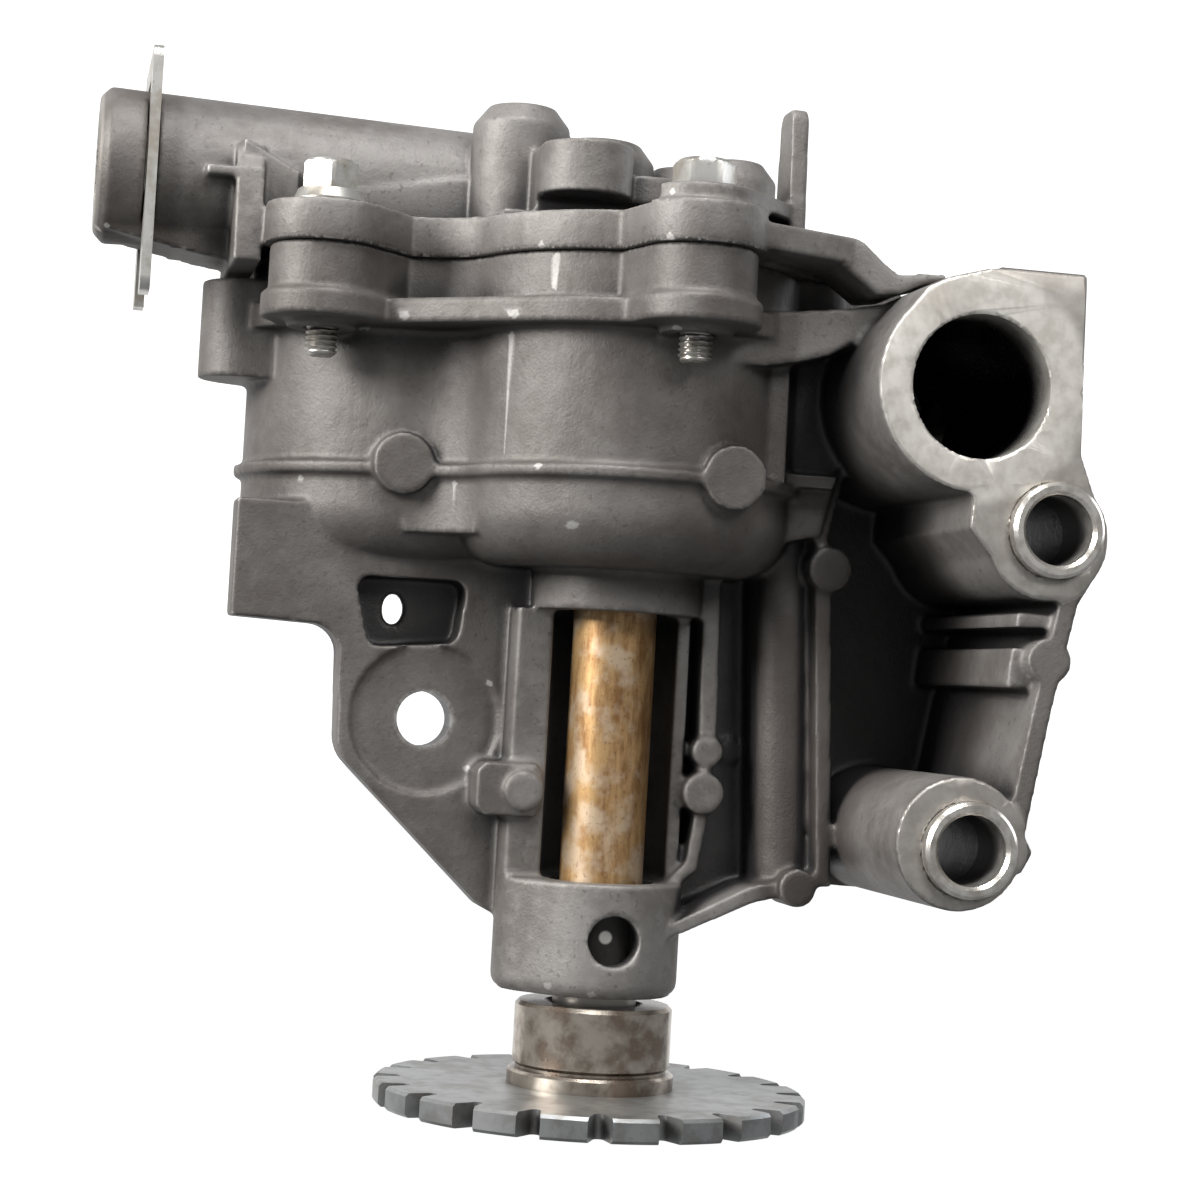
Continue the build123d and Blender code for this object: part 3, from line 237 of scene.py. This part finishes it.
def distance_from(axes, first, second, middle):
    """Distance from a line along the third axis, for two axes by number."""
    away = (axes[first] - middle[0]) * (axes[first] - middle[0])
    aside = (axes[second] - middle[1]) * (axes[second] - middle[1])
    return (away + aside).maths("SQRT")


def casting_material(name, machined_mask, stain_and_painted_light_mask, bore_shade_mask=None):
    """Die-cast aluminium; the masks mark cut faces, stained places with some painted light and
    shade, and the painted shade deep in bores.
    """
    material, tree, place, axes = start_material(name)
    machined = machined_mask(axes)
    hollow = tree.node("ShaderNodeAmbientOcclusion", {"samples": 8, "only_local": True},
                       {"Distance": 9 * MM}, 1)
    crease = tree.node("ShaderNodeAmbientOcclusion", {"samples": 8, "only_local": True},
                       {"Distance": 2.2 * MM}, 1)
    recess = tree.node("ShaderNodeAmbientOcclusion", {"samples": 8, "only_local": True},
                       {"Distance": 30 * MM}, 1)
    edge = tree.node("ShaderNodeNewGeometry", output="Pointiness")
    blotch = place.noise(0.055, 4.0, 0.6)
    cloud = place.noise(0.35, 4.0, 0.6)
    grain = place.noise(2.4, 3.0, 0.6)
    speck = place.noise(1.1, 2.0, 0.5)
    # the skin: alloy with brownish patches, dark oil together with painted shade in the hollows,
    # creases and recesses, and bright worn edges
    colour = blotch.rise(0.35, 0.65).mix((0.185, 0.176, 0.168), (0.118, 0.108, 0.100))
    colour = (cloud.rise(0.42, 0.72) * 0.5).mix(colour, (0.225, 0.215, 0.205))
    colour = (speck.rise(0.60, 0.72) * 0.5).mix(colour, (0.075, 0.067, 0.060))
    colour = (stain_and_painted_light_mask(axes) * (0.5 + blotch)).mix(colour, (0.055, 0.047, 0.042))
    # painted shade: occlusion over 9, 2.2 and 30 mm darkens hollows, creases and recesses towards
    # black, mixed with oil
    oil_and_painted_shade = (1 - hollow.rise(0.25, 0.85)) * 0.8 + (1 - crease.rise(0.35, 0.9)) * 0.45
    oil_and_painted_shade = oil_and_painted_shade + (1 - recess.rise(0.22, 0.74)) * 1.05 + (cloud - 0.5) * 0.5
    oil_and_painted_shade = oil_and_painted_shade.rise(0.1, 1.05)
    colour = (oil_and_painted_shade * 0.93).mix(colour, (0.024, 0.023, 0.024))
    worn = edge.rise(0.52, 0.60) * (0.5 + 0.5 * cloud)
    colour = (worn * (1 - oil_and_painted_shade * 0.7) * 0.75).mix(colour, (0.42, 0.41, 0.395))
    # the cut faces: bright, with a trace of the same stains
    cut = cloud.rise(0.35, 0.7).mix((0.60, 0.58, 0.545), (0.44, 0.42, 0.385))
    cut = (blotch.rise(0.48, 0.68) * 0.4).mix(cut, (0.40, 0.36, 0.32))
    cut = (stain_and_painted_light_mask(axes) * 0.9).mix(cut, (0.14, 0.125, 0.115))
    colour = machined.mix(colour, cut)
    # painted shade: deep in the port and sleeve bores the colour goes near black
    if bore_shade_mask is not None:
        colour = bore_shade_mask(axes).mix(colour, (0.008, 0.008, 0.010))
    roughness = 0.50 + 0.12 * grain - 0.14 * oil_and_painted_shade - 0.14 * machined
    milling = (axes[0] * 5.2 + axes[2] * 1.7).maths("SINE")
    height = (grain * 0.06 + cloud * 0.12) * (1 - machined) + milling * machined * 0.004
    close_material(tree, height, Base_Color=colour, Roughness=roughness,
                   Metallic=0.35 + 0.3 * machined)
    return material


def solid_copy(node):
    """A plain copy of a CAD node's mesh, joined at its seams."""
    mesh = bmesh.new()
    mesh.from_mesh(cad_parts[node].data)
    bmesh.ops.remove_doubles(mesh, verts=mesh.verts, dist=0.002 * MM)
    return mesh


def run_modifier(mesh, kind, **settings):
    """The mesh that a modifier makes of this one."""
    carrier = bpy.data.objects.new("carrier", mesh)
    bpy.context.scene.collection.objects.link(carrier)
    modifier = carrier.modifiers.new(kind.lower(), kind)
    for name, value in settings.items():
        setattr(modifier, name, value)
    done = bpy.data.meshes.new_from_object(
        carrier.evaluated_get(bpy.context.evaluated_depsgraph_get()))
    bpy.data.objects.remove(carrier)
    return done


def soften(mesh, rounds, planes, bores):
    """Rounds the edges of a fine mesh as a die does, and keeps what a cutter has made.

    planes are (axis, value, low corner, high corner); bores are (axis along, centre in the
    other two, radius, low end, high end). Millimetres.
    """
    melt, swell = 0.6, -0.35            # each round shrinks the edges, then undoes the shrinking
    plane_reach, bore_reach = 0.2, 0.3  # points this near go back on the cut face
    count = len(mesh.vertices)
    points = np.empty(count * 3)
    mesh.vertices.foreach_get("co", points)
    points = points.reshape(-1, 3) / MM
    edges = np.empty(len(mesh.edges) * 2, int)
    mesh.edges.foreach_get("vertices", edges)
    edges = edges.reshape(-1, 2)
    degree = np.bincount(edges.ravel(), minlength=count)[:, None]

    def average(values):
        total = np.empty_like(values)
        for axis in range(3):
            total[:, axis] = (np.bincount(edges[:, 0], values[edges[:, 1], axis], count)
                              + np.bincount(edges[:, 1], values[edges[:, 0], axis], count))
        return total / degree

    start = points.copy()
    for _ in range(rounds):
        points = points + melt * (average(points) - points)
        points = points + swell * (average(points) - points)
    for axis, value, low, high in planes:
        near = np.abs(start[:, axis] - value) < plane_reach
        near &= np.all((start > low) & (start < high), axis=1)
        points[near, axis] = value
    for axis, middle, radius, low, high in bores:
        others = [a for a in range(3) if a != axis]
        offset = start[:, others] - middle
        reach = np.hypot(offset[:, 0], offset[:, 1])
        near = np.abs(reach - radius) < bore_reach
        near &= (start[:, axis] > low) & (start[:, axis] < high)
        for column, other in enumerate(others):
            points[near, other] = middle[column] + offset[near, column] * radius / reach[near]
        along = near & (np.abs(points[:, axis] - start[:, axis]) < bore_reach)
        points[along, axis] = np.where(np.isin(points[along, axis], [p[1] for p in planes]),
                                       points[along, axis], start[along, axis])
    mesh.vertices.foreach_set("co", (points * MM).ravel())
    mesh.update()


def casting(node, name, material, voxel, faces, rounds, planes, bores):
    """A CAD casting with the small radii and the skin of its die."""
    source = solid_copy(node)
    mesh = bpy.data.meshes.new(name)
    source.to_mesh(mesh)
    source.free()
    mesh = run_modifier(mesh, "REMESH", mode="VOXEL", voxel_size=voxel * MM, adaptivity=0.0)
    soften(mesh, rounds, planes, bores)
    triangles = 2 * len(mesh.polygons)
    if triangles > faces:
        mesh = run_modifier(mesh, "DECIMATE", ratio=faces / triangles)
    mesh.shade_smooth()
    mesh.set_sharp_from_angle(angle=radians(55.0))
    mesh = run_modifier(mesh, "WEIGHTED_NORMAL", weight=90, keep_sharp=True)
    mesh.name = name
    mesh.materials.clear()
    mesh.materials.append(material)
    piece = bpy.data.objects.new(name, mesh)
    bpy.context.scene.collection.objects.link(piece)
    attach(piece, "housing")
    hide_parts(node)


far = 1000.0
port_place = (43.0, 108.1)
upper_sleeve_place = (55.0, 88.2)
lower_sleeve_place = (44.3, 42.0)
flange_hole_place = (-27.9, 56.0)
driven_place = (-30.338, 23.703)
mounting_y = -40.0
joint_z = 125.5
pocket_floor_z = 93.5
inlet_face_y = 52.0
column_foot_z = 16.0
pocket_radius = 22.5
port_radius = 10.4
sleeve_seat_radius, sleeve_bore_radius = 6.92, 5.1
flange_hole_radius = 4.2
shaft_place, shaft_bore_radius = (0.0, 0.0), 8.06
body_planes = [
    (1, mounting_y, (20, -far, 20), (far, -39, 130)),
    (2, joint_z, (-far, -far, 124), (far, far, 127)),
    (2, pocket_floor_z, (-60, -30, 93), (30, 60, 94)),
    (1, inlet_face_y, (-35, 51, 80), (25, 53, 125)),
    (2, column_foot_z, (-15, -15, 15), (15, 15, 17)),
]
body_bores = [
    (1, port_place, port_radius, -41, 18),
    (1, upper_sleeve_place, sleeve_seat_radius, -41, -29),
    (1, lower_sleeve_place, sleeve_seat_radius, -41, -29),
    (1, upper_sleeve_place, sleeve_bore_radius, -31, 12),
    (1, lower_sleeve_place, sleeve_bore_radius, -31, 12),
    (1, flange_hole_place, flange_hole_radius, 3, 13),
    (2, shaft_place, pocket_radius, 93, 126),
    (2, driven_place, pocket_radius, 93, 126),
    (2, shaft_place, shaft_bore_radius, 15, 94),
]


def body_stain_and_painted_light(axes):
    """Hot oil has stained lobes and flange, and the mounting face outside the port's ring; the
    column and the block's front are cleaner. The web recess is darkened further as painted shade,
    and a patch up by the joint, left of the delivery port, is kept light as painted light.
    """
    across, deep, high = axes
    column = across.rise(-17, -14) * (1 - across.rise(21, 24)) * (1 - high.rise(72, 77))
    block = across.rise(20, 26) * (1 - deep.rise(-26, -14))
    # painted shade: the web recess beside the column is darkened further
    web = across.rise(18, 22) * deep.rise(-24, -8) * (1 - high.rise(80, 88))
    # painted light: a patch up by the joint, left of the delivery port, is left unstained and so
    # lighter
    painted_light_patch = across.rise(19, 21) * (1 - across.rise(36, 38))
    painted_light_patch = painted_light_patch * high.rise(104, 106) * (1 - deep.rise(-21, -19))
    ring = distance_from(axes, 0, 2, port_place).rise(17.5, 15.5)
    face = (1 - deep.rise(-39.6, -38.8)) * (1 - ring)
    return (1 - column) * (1 - block * 0.8) * (1 - painted_light_patch) * 0.58 + web * 0.40 + face * 0.5


def body_machined(axes):
    """The mounting face and the delivery port."""
    face = axes[1].rise(mounting_y + 0.35, mounting_y + 0.15)
    port = distance_from(axes, 0, 2, port_place).rise(10.9, 10.6)
    return face.maths("MAXIMUM", port * axes[1].rise(20.0, 19.0))


def body_bore_shade(axes):
    """Painted shade: how deep a place lies in the port and the sleeve bores, which go near black
    there as if unlit.
    """
    inside = distance_from(axes, 0, 2, port_place).rise(11.2, 10.8) * axes[1].rise(18.4, 17.9)
    for middle in (upper_sleeve_place, lower_sleeve_place):
        inside = inside + distance_from(axes, 0, 2, middle).rise(5.7, 5.4)
    return inside * axes[1].rise(mounting_y + 0.5, mounting_y + 9.0)


cast_aluminium = casting_material("cast_aluminium", body_machined, body_stain_and_painted_light, body_bore_shade)
casting("pump_body", "body_casting", cast_aluminium, 0.45, 190000, 4,
        body_planes, body_bores)


# Plain bushes carry the shaft. The lower one and the cover's have black steel backs, and the
# lower one shows through the oil hole of the column, where a bright glint is painted on it.
def dress(nodes, material):
    """Gives CAD nodes a finish; their shapes stay as packed."""
    for node in nodes:
        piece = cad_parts[node]
        piece.data.materials.clear()
        piece.data.materials.append(material)


material, tree, place, axes = start_material("bush_back")
# painted highlight: a bright spot painted on the bush back where it shows through the oil hole
painted_glint = distance_from(axes, 0, 2, (-0.5, 24.9)).rise(1.15, 0.75) * axes[1].rise(0.0, -1.0)
film = place.noise(0.9, 3.0, 0.5)
shade = painted_glint.mix(film.mix((0.020, 0.018, 0.017), (0.045, 0.040, 0.036)), (0.72, 0.70, 0.66))
close_material(tree, film * 0.02, Base_Color=shade, Metallic=0.3, Roughness=0.35 + 0.2 * film)
dress(["lower_shaft_bush", "cover_shaft_bush"], material)


# The upper shaft bush and the bush of the driven gear are solid bearing bronze, turned and
# pressed in.
def turned_finish(name, bright, dull, tint, tint_share, line_axis, lines_per_mm, roughness,
                  line_height=0.004, metallic=0.9):
    """Two shades with a tint of old oil and dark specks, and painted shade where other surfaces
    come near; fine lines step along line_axis.
    """
    material, tree, place, axes = start_material(name)
    cloud = place.noise(0.22, 4.0, 0.6)
    fine = place.noise(1.6, 3.0, 0.6)
    hollow = tree.node("ShaderNodeAmbientOcclusion", {"samples": 6, "only_local": False},
                       {"Distance": 5 * MM}, 1)
    along = tree.node("ShaderNodeCombineXYZ", None, {line_axis: axes[line_axis]})
    lines = along.noise(lines_per_mm, 2.0, 0.6)
    colour = cloud.rise(0.35, 0.65).mix(bright, dull)
    colour = (cloud.rise(0.5, 0.62) * tint_share).mix(colour, tint)
    colour = (fine.rise(0.62, 0.74) * 0.35).mix(colour, (0.10, 0.08, 0.07))
    # painted shade: occlusion within 5 mm, other parts included, darkens the colour
    colour = ((1 - hollow.rise(0.2, 0.8)) * 0.75).mix(colour, (0.045, 0.035, 0.03))
    close_material(tree, lines * line_height + fine * 0.003, Base_Color=colour, Metallic=metallic,
                   Roughness=roughness + 0.12 * cloud)
    return material


bearing_bronze = turned_finish("bearing_bronze", (0.55, 0.36, 0.17), (0.42, 0.26, 0.12),
                               (0.2, 0.1, 0.05), 0.4, 2, 3.0, 0.35)
dress(["upper_shaft_bush", "driven_gear_bush"], bearing_bronze)


# The drive shaft is ground steel and runs in the bushes. Hot oil has baked it golden brown
# inside the body, where the window shows it; its end below the column is bare.
material, tree, place, axes = start_material("varnished_steel")
stretched = tree.node("ShaderNodeVectorMath", {"operation": "MULTIPLY"},
                      {0: place, 1: (1.0, 1.0, 0.25)})
streak = stretched.noise(0.55, 4.0, 0.65)
patch = place.noise(0.16, 3.0, 0.6)
fine = place.noise(2.0, 2.0, 0.5)
varnish = streak.rise(0.35, 0.7).mix((0.52, 0.33, 0.15), (0.23, 0.112, 0.04))
varnish = (patch.rise(0.45, 0.62) * 0.75).mix(varnish, (0.58, 0.46, 0.335))
varnish = (fine.rise(0.58, 0.74) * 0.45).mix(varnish, (0.13, 0.055, 0.02))
inside = axes[2].rise(15.0, 17.0)
shade = inside.mix((0.50, 0.47, 0.43), varnish)
close_material(tree, streak * 0.012 + fine * 0.006, Base_Color=shade, Metallic=0.7,
               Roughness=0.30 + 0.2 * streak, Coat_Weight=0.4 * patch, Coat_Roughness=0.2)
dress(["drive_shaft"], material)


# Two ground steel gears mesh in the pocket. One is keyed to the drive shaft and held by a ring
# of spring wire, and the other runs on a fixed pin.
ground_steel = turned_finish("ground_steel", (0.55, 0.55, 0.55), (0.42, 0.42, 0.42),
                             (0.25, 0.2, 0.16), 0.3, 2, 3.0, 0.28)
spring_wire = turned_finish("spring_wire", (0.40, 0.40, 0.41), (0.28, 0.28, 0.29),
                            (0.2, 0.15, 0.12), 0.3, 0, 3.0, 0.3)
dress(["drive_gear", "driven_gear", "driven_gear_pin", "drive_key"], ground_steel)
dress(["gear_retaining_ring"], spring_wire)


# The top cover is a second die casting, bolted down on the gears. It carries the tube of
# the relief valve on the left, the domes of its passage and an upright tab.
valve_place, valve_radius = (16.0, 138.2), 8.0
cover_planes = [
    (2, joint_z, (-far, -far, 124), (far, far, 127)),
]
cover_bores = [
    (0, valve_place, valve_radius, -83, -29),
    (2, shaft_place, shaft_bore_radius, 125, 138),
]


def cover_stain_and_painted_light(axes):
    """The plate and the open end of the tube are darker than the rest of the cover, and the top a
    little; the plate's right end, where the arm runs, is kept light as painted light.
    """
    # painted light: past x = 12 to 16 mm the plate is left unstained, so the arm there reads lit
    plate_share = (1 - axes[2].rise(126, 131)) * (1 - axes[0].rise(12, 16)) * 0.62
    return plate_share + (1 - axes[0].rise(-71, -68)) * 0.42 + axes[2].rise(128, 134) * 0.18


def cover_machined(axes):
    """The valve bore and the end face of its tube."""
    bore = distance_from(axes, 1, 2, valve_place).rise(valve_radius + 0.4, valve_radius + 0.2)
    end = axes[0].rise(-81.2, -81.7)
    return bore.maths("MAXIMUM", end * 0.5)


cover_skin = casting_material("cover_casting", cover_machined, cover_stain_and_painted_light)
casting("top_cover", "cover_casting", cover_skin, 0.38, 120000, 4,
        cover_planes, cover_bores)


# Two ground steel dowels set the cover on the body. They are pressed into the body and lie
# hidden in the joint.
dress(["cover_dowels"], ground_steel)


# The relief valve lies in the cover's tube: a ground piston, a wire spring and an end plug
# with a rubber ring. A flat clip of zinc-plated sheet is pushed over the tube to hold them.
seal_rubber = turned_finish("seal_rubber", (0.03, 0.03, 0.03), (0.02, 0.02, 0.02),
                            (0.05, 0.04, 0.03), 0.2, 0, 1.0, 0.6, metallic=0.0)
zinc_plate = turned_finish("zinc_plate", (0.58, 0.57, 0.545), (0.40, 0.385, 0.355),
                           (0.34, 0.27, 0.20), 0.3, 2, 2.0, 0.32)
dress(["relief_piston", "relief_plug"], ground_steel)
dress(["relief_spring"], spring_wire)
dress(["plug_seal"], seal_rubber)
dress(["relief_clip"], zinc_plate)


# Four zinc-plated hexagon bolts with flanges hold the cover. Their rolled threads go through
# the bosses, and the ends look out below.
bolt_places = [(3.0, -30.0), (-47.8, -3.0), (-42.5, 53.0), (17.0, 25.5)]
bolt_turns = [0.35, 0.95, 0.1, 0.6]
bolt_end, boss_low, seat_z, head_top = 109.2, 113.0, 131.5, 138.5
thread_pitch, thread_depth, shank_radius = 0.8, 0.42, 2.5
half_flats = 4.0
rows_per_pitch = 8
ring_steps = 60
flange_profile = [(0.0, 5.2), (0.15, 5.45), (0.9, 5.5), (1.15, 5.3), (2.4, 4.85)]
crown_profile = [(-0.12, 0.96), (0.0, 0.90), (0.0, 0.62), (-0.35, 0.55), (-0.35, 0.0)]


def hexagon(angle):
    """Distance from the middle of a hexagon to its side, in the direction of the angle."""
    return half_flats / cos((angle + pi / 6) % (pi / 3) - pi / 6)


def bolt_profile():
    """Heights with the radius there at each angle, from the threaded end to the head's top.

    The flange's rings are heights above the seat with radii, and the crown's are heights
    from the head's top with shares of half_flats.
    """
    rings = [(bolt_end, lambda angle: 0.0), (bolt_end, lambda angle: shank_radius - 0.9)]
    steps = int((boss_low - bolt_end) / thread_pitch * rows_per_pitch)
    for step in range(steps + 1):
        height = bolt_end + 0.3 + step * thread_pitch / rows_per_pitch
        lead = min(1.0, step / 5)

        def thread(angle, height=height, lead=lead):
            phase = (height / thread_pitch - angle / (2 * pi)) % 1.0
            return (shank_radius - (1 - lead) * 0.4) - thread_depth * abs(2 * phase - 1) * lead

        rings.append((height, thread))
    crown = head_top - 1.0
    rings += [(boss_low + 0.5, lambda angle: shank_radius - 0.1),
              (seat_z, lambda angle: shank_radius - 0.1)]
    rings += [(seat_z + up, lambda angle, radius=radius: radius) for up, radius in flange_profile]
    rings += [(seat_z + 2.6, hexagon), (crown, hexagon),
              (crown + 0.45, lambda angle: min(hexagon(angle), half_flats * 1.085))]
    rings += [(head_top + up, lambda angle, share=share: half_flats * share)
              for up, share in crown_profile]
    return rings


bolt_rings = bolt_profile()
bolt_mesh = bmesh.new()
for (bolt_x, bolt_y), turn in zip(bolt_places, bolt_turns):
    rows = []
    for height, reach in bolt_rings:
        rows.append([])
        for step in range(ring_steps):
            angle = 2 * pi * step / ring_steps
            radius = reach(angle)
            spot = Vector((bolt_x + radius * cos(angle + turn),
                           bolt_y + radius * sin(angle + turn), height))
            rows[-1].append(bolt_mesh.verts.new(spot * MM))
    for lower, upper in zip(rows, rows[1:]):
        for step in range(ring_steps):
            after = (step + 1) % ring_steps
            bolt_mesh.faces.new((lower[step], lower[after], upper[after], upper[step]))
bmesh.ops.remove_doubles(bolt_mesh, verts=bolt_mesh.verts, dist=0.001 * MM)
bolt_data = bpy.data.meshes.new("flanged_bolts")
bolt_mesh.to_mesh(bolt_data)
bolt_mesh.free()
bolt_data.shade_smooth()
bolt_data.set_sharp_from_angle(angle=radians(28.0))
bolt_data.materials.append(zinc_plate)
flanged_bolts = bpy.data.objects.new("flanged_bolts", bolt_data)
bpy.context.scene.collection.objects.link(flanged_bolts)
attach(flanged_bolts, "housing")
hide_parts("cover_bolts")


# Two hollow dowels of turned steel stand proud of the mounting face. Their rims are bright and
# the bores behind them are wet with oil and painted near black as painted shade.
material, tree, place, axes = start_material("sleeve_steel")
cloud = place.noise(0.4, 4.0, 0.6)
turned = cloud.rise(0.35, 0.7).mix((0.70, 0.67, 0.63), (0.44, 0.41, 0.37))
# painted shade: the colour goes near black deeper in the bores, which also turn oily and rough
bore_shade_and_oil = axes[1].rise(mounting_y - 1.2, mounting_y + 4.0)
close_material(tree, cloud * 0.01, Base_Color=bore_shade_and_oil.mix(turned, (0.016, 0.014, 0.014)),
               Metallic=0.85 - 0.75 * bore_shade_and_oil, Roughness=0.26 + 0.3 * bore_shade_and_oil)
dress(["upper_mount_sleeve", "lower_mount_sleeve"], material)


# A ground steel plug closes the end of the drilled oil passage in the body. It is pressed in
# and never taken out.
dress(["passage_plug"], ground_steel)


# The hub is turned steel, tinted by hot oil, and a wire ring holds it on the shaft's end. The
# sprocket on it is a flat steel disc with twenty teeth for the chain.
hub_steel = turned_finish("hub_steel", (0.50, 0.45, 0.39), (0.25, 0.21, 0.17),
                          (0.22, 0.155, 0.12), 0.5, 2, 5.0, 0.20)
sprocket_steel = turned_finish("sprocket_steel", (0.33, 0.335, 0.335), (0.24, 0.245, 0.245),
                               (0.22, 0.20, 0.18), 0.35, 2, 2.0, 0.36, line_height=0.0)
dress(["sprocket_hub"], hub_steel)
dress(["hub_retaining_ring"], spring_wire)
dress(["drive_sprocket"], sprocket_steel)
